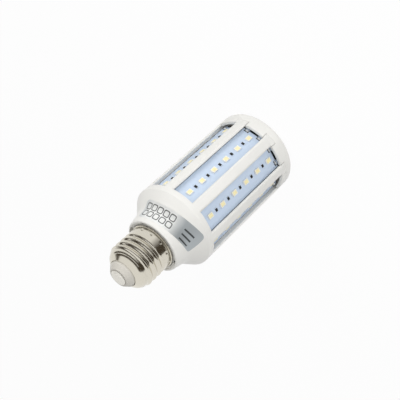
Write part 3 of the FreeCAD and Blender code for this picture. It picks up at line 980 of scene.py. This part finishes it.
class BULB_OT_resistors(Operator):
    """Model the chip resistors with tinned ends"""
    bl_idname = "bulb.resistors"
    bl_label = "Resistors"

    def execute(self, context):
        sizes, colours = settings_of(context)
        near, far = -RESISTOR_HIGH[1], -RESISTOR_LOW[1]
        width = RESISTOR_HIGH[0] - RESISTOR_LOW[0]
        low = RESISTOR_LOW[2]
        high = low + sizes.resistor_width
        end = 0.12 * MM
        plating = 0.02 * MM
        body = facing_block("chip", near, far - plating, width - 2 * end, low + plating, high - plating)
        paint(body, speckled("glazed_chip", colours.resistor, 0.5, 0.2 * MM))
        parts = [body]
        for side in (-1, 1):
            lateral = side * (width - end) / 2
            cap = facing_block("chip_end", near, far, end, low, high, lateral)
            paint(cap, bpy.data.materials["tinned_ends"])
            parts.append(cap)
        chip = joined("chip", parts)
        soften(chip, 0.05 * MM)
        row_of(chip, sizes.led_count - 1, sizes.led_pitch)
        set_on_strips(chip, "chip_resistors", None, "strip_resistors")
        return {"FINISHED"}


class BULB_OT_solder(Operator):
    """Model the solder on the tabs at the head ends of the strips"""
    bl_idname = "bulb.solder"
    bl_label = "Solder"

    def execute(self, context):
        sizes = context.scene.bulb_sizes
        face = -STRIP_LOW[1]
        lateral = tab_side(sizes)
        middle = (SOLDER_LOW[2] + SOLDER_HIGH[2]) / 2
        half_sizes = (1.25 * MM, 0.66 * MM, 0.6 * MM)
        sunk = 0.03 * MM
        drops = []
        for side in (-1, 1):
            clear_selection()
            bpy.ops.mesh.primitive_uv_sphere_add(
                segments=20, ring_count=12, radius=1, location=(side * lateral, -face, middle))
            drop = bpy.context.object
            drop.scale = half_sizes
            apply_place(drop)
            edit(drop)
            bpy.ops.mesh.bisect(
                plane_co=(0, -face + sunk, 0), plane_no=(0, 1, 0), clear_outer=True, use_fill=True,
                threshold=SAME_PLACE)
            bpy.ops.object.mode_set(mode="OBJECT")
            drops.append(drop)
        whole = ring_of(joined("solder_drops", drops), STRIPS)
        finish_piece(whole, bpy.data.materials["tinned_ends"], ["solder_joints"], 40)
        return {"FINISHED"}


class BULB_OT_label(Operator):
    """Stick the foil label on the flare and neck"""
    bl_idname = "bulb.label"
    bl_label = "Label"

    def execute(self, context):
        sizes, colours = settings_of(context)
        clear_selection()
        bpy.ops.mesh.primitive_grid_add(x_subdivisions=120, y_subdivisions=36, size=2)
        foil = bpy.context.object
        foil.name = "label_foil"
        line = rounded([(sizes.body_radius, sizes.window_end)] + outer_line(sizes) + [
            (sizes.recess_radius, sizes.neck_end)], 24)
        half_length, half_width, corner = 20.0, 4.9, 1.6
        for vertex in foil.data.vertices:
            along, across = vertex.co.x, vertex.co.y
            into = max(abs(across) * half_width - (half_width - corner), 0.0)
            shorter = corner - math.sqrt(max(corner ** 2 - into ** 2, 0.0))
            along *= 1 - shorter / half_length
            share = 0.5 + 0.5 * across
            middle = sizes.label_centre + sizes.label_lean * share
            angle = middle + along * (sizes.label_span + sizes.label_spread * share) / 2
            radius, height = self.on_surface(sizes, line, angle, share)
            vertex.co = (radius * math.cos(angle), radius * math.sin(angle), height)
        edit(foil)
        face_outwards()
        apply_modifier(foil, "SOLIDIFY", thickness=0.06 * MM, offset=-1.0)
        edit(foil)
        face_outwards()
        silver = foil_label("silver_foil", colours.foil, colours.foil_painted_dim, colours.print_field)
        finish_piece(foil, silver, [])
        return {"FINISHED"}

    def on_surface(self, sizes, line, angle, share):
        """Radius and height just off the housing, a share of the way between the label's edges."""
        off = 0.09 * MM
        slope = math.tan(sizes.label_tilt) * math.cos(angle - sizes.label_towards)
        base = sizes.label_low + (sizes.label_high - sizes.label_low) * share
        for start, end in zip(line, line[1:]):
            gaps = [point[1] - base - slope * point[0] for point in (start, end)]
            if gaps[0] <= 0 <= gaps[1]:
                normal = Vector((end[1] - start[1], start[0] - end[0])).normalized()
                return start.lerp(end, gaps[0] / (gaps[0] - gaps[1])) + normal * off
        raise ValueError("the label leaves the flare and neck")


class BULB_OT_driver(Operator):
    """Give the driver parts inside the neck their finishes"""
    bl_idname = "bulb.driver"
    bl_label = "Driver"

    def execute(self, context):
        finishes = {
            "driver_board": ("#2E6B45", 0.4), "dropper_capacitor": ("#C9A43A", 0.35),
            "smoothing_capacitor": ("#23242A", 0.3), "bridge_rectifier": ("#151517", 0.5),
            "fuse_resistor": ("#7FA8A4", 0.35), "bleed_resistors": ("#17181B", 0.35),
            "contact_lead": ("#1B1B1C", 0.5), "shell_lead": ("#8E1B16", 0.5),
            "supply_lead_red": ("#8E1B16", 0.5), "supply_lead_black": ("#1B1B1C", 0.5),
        }
        for node, (hex_colour, roughness) in finishes.items():
            paint(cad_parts[node], speckled(node + "_finish", linear(hex_colour), roughness, 0.5 * MM))
        return {"FINISHED"}


class BULB_OT_stage(Operator):
    """Set the floor, the light and the camera"""
    bl_idname = "bulb.stage"
    bl_label = "Stage"

    def execute(self, context):
        settings = context.scene.bulb_stage
        self.floor(settings)
        self.world(context.scene)
        self.lamps()
        self.cards()
        self.camera(context.scene, settings)
        context.scene.view_settings.view_transform = "Standard"
        return {"FINISHED"}

    def seen(self, tree):
        """One where a ray of the camera, a reflection or a refraction arrives."""
        path = add_node(tree, "ShaderNodeLightPath").outputs
        either = maths(tree, "MAXIMUM", path["Is Camera Ray"], path["Is Glossy Ray"])
        return maths(tree, "MAXIMUM", either, path["Is Transmission Ray"])

    def glow(self, tree, tone):
        """Shader that shines evenly in a tone."""
        return add_node(tree, "ShaderNodeEmission", Color=tone, Strength=1.0).outputs[0]

    def floor(self, settings):
        """White paper just below the head, which looks nearly as bright as the background."""
        clear_selection()
        bpy.ops.mesh.primitive_plane_add(size=settings.floor_size, location=(0, 0, -0.3 * MM))
        floor = bpy.context.object
        floor.name = "studio_floor"
        material, tree, surface = shader("floor_paper", Base_Color=(0.9, 0.9, 0.9, 1), Roughness=0.9)
        glow_share = 0.95
        share = maths(tree, "MULTIPLY", self.seen(tree), glow_share)
        white = self.glow(tree, (1, 1, 1, 1))
        mixed = add_node(tree, "ShaderNodeMixShader", Fac=share, n1=surface.outputs[0], n2=white)
        tree.links.new(mixed.outputs[0], tree.nodes["Material Output"].inputs["Surface"])
        paint(floor, material)

    def world(self, scene):
        """White all round, dimmer as a light than it looks."""
        lighting, looks = 0.445, 1.0
        world = bpy.data.worlds.new("studio_world")
        world.use_nodes = True
        tree = world.node_tree
        back = tree.nodes["Background"]
        back.inputs["Color"].default_value = (1, 1, 1, 1)
        feed(tree, back, Strength=ease(tree, self.seen(tree), 0.0, 1.0, lighting, looks))
        scene.world = world

    def lamps(self):
        """Square lamps, each with its place, size and watts, that reflections don't show."""
        lamps = (
            ("key", (0.42, -0.52, 0.25), 0.3, 1.65),
            ("fill", (-0.5, -0.4, 0.3), 0.6, 1.1),
            ("front", (-0.13, -0.46, 0.33), 0.2, 0.65),
        )
        target = Vector((0, 0, 0.06))
        for name, place, size, watts in lamps:
            clear_selection()
            bpy.ops.object.light_add(type="AREA", location=place)
            lamp = bpy.context.object
            lamp.name = name
            lamp.data.size = size
            lamp.data.energy = watts
            lamp.visible_glossy = False
            lamp.rotation_euler = (target - Vector(place)).to_track_quat("-Z", "Y").to_euler()

    def cards(self):
        """Dark cards round the bulb that only reflections see, as the dark side of a studio."""
        # Name, low and high edge, first and last angle in degrees, and whether it fades
        spans = (
            ("dark_card_low", 0.0, 0.118, -167, -92, True),
            ("dark_card_high", 0.118, 0.149, -165, 15, False),
            ("dark_card_end", 0.149, 0.164, -165, -135, False),
            ("dark_card_top", 0.164, 0.23, -165, 15, False),
        )
        for span in spans:
            card = self.card(*span)
            for ray in ("camera", "diffuse", "shadow", "transmission"):
                setattr(card, "visible_" + ray, False)

    def card(self, name, low, high, start, end, fading):
        """Upright card on an arc round the axis, which may fade to white towards its end."""
        reach = 0.12
        fade = math.radians(35)
        past_all = math.radians(179)
        dark, white = (0.07, 0.058, 0.043, 1), (0.9, 0.9, 0.9, 1)
        angle = math.radians(start)
        x, y = reach * math.cos(angle), reach * math.sin(angle)
        card = wire(name, [(x, y, low), (x, y, high)])
        bpy.ops.mesh.spin(steps=48, angle=-math.radians(end - start), center=(0, 0, 0), axis=(0, 0, 1))
        bpy.ops.object.mode_set(mode="OBJECT")
        material, tree, surface = shader(name)
        tree.nodes.remove(surface)
        parts = apart(tree, on_object(tree))
        turn = maths(tree, "ARCTAN2", parts["Y"], parts["X"])
        begin = math.radians(end) - fade if fading else past_all
        tone = blend(tree, ease(tree, turn, begin, begin + fade), dark, white)
        tree.links.new(self.glow(tree, tone), tree.nodes["Material Output"].inputs["Surface"])
        paint(card, material)
        return card

    def camera(self, scene, settings):
        """Camera at its place, turned along the view with its own up."""
        clear_selection()
        bpy.ops.object.camera_add(location=settings.camera_place)
        camera = bpy.context.object
        camera.data.lens = settings.lens
        camera.data.sensor_width = 36
        camera.data.clip_start = 0.01
        back = -Vector(settings.view_along).normalized()
        across = Vector(settings.view_up).cross(back).normalized()
        up = back.cross(across)
        camera.rotation_euler = Matrix((across, up, back)).transposed().to_euler()
        scene.camera = camera


class BULB_PT_panel(Panel):
    """List of the pieces in the sidebar"""
    bl_label = "Corn LED Bulb"
    bl_idname = "BULB_PT_panel"
    bl_space_type = "VIEW_3D"
    bl_region_type = "UI"
    bl_category = "Bulb"

    def draw(self, context):
        for piece in PIECES:
            self.layout.operator(piece.bl_idname)


PIECES = (
    BULB_OT_housing, BULB_OT_end_cap, BULB_OT_screw_shell, BULB_OT_cap_end, BULB_OT_boards, BULB_OT_leds,
    BULB_OT_resistors, BULB_OT_solder, BULB_OT_label, BULB_OT_driver, BULB_OT_stage,
)
GROUPS = {"bulb_sizes": BulbSizes, "bulb_colours": BulbColours, "bulb_stage": BulbStage}


def register():
    for group in (*GROUPS.values(), *PIECES, BULB_PT_panel):
        bpy.utils.register_class(group)
    for name, group in GROUPS.items():
        setattr(bpy.types.Scene, name, PointerProperty(type=group))


def unregister():
    for name in GROUPS:
        delattr(bpy.types.Scene, name)
    for group in (BULB_PT_panel, *reversed(PIECES), *GROUPS.values()):
        bpy.utils.unregister_class(group)


def main():
    register()
    bpy.ops.bulb.housing()
    bpy.ops.bulb.end_cap()
    bpy.ops.bulb.screw_shell()
    bpy.ops.bulb.cap_end()
    bpy.ops.bulb.boards()
    bpy.ops.bulb.leds()
    bpy.ops.bulb.resistors()
    bpy.ops.bulb.solder()
    bpy.ops.bulb.label()
    bpy.ops.bulb.driver()
    bpy.ops.bulb.stage()
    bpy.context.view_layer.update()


if __name__ == "__main__":
    main()
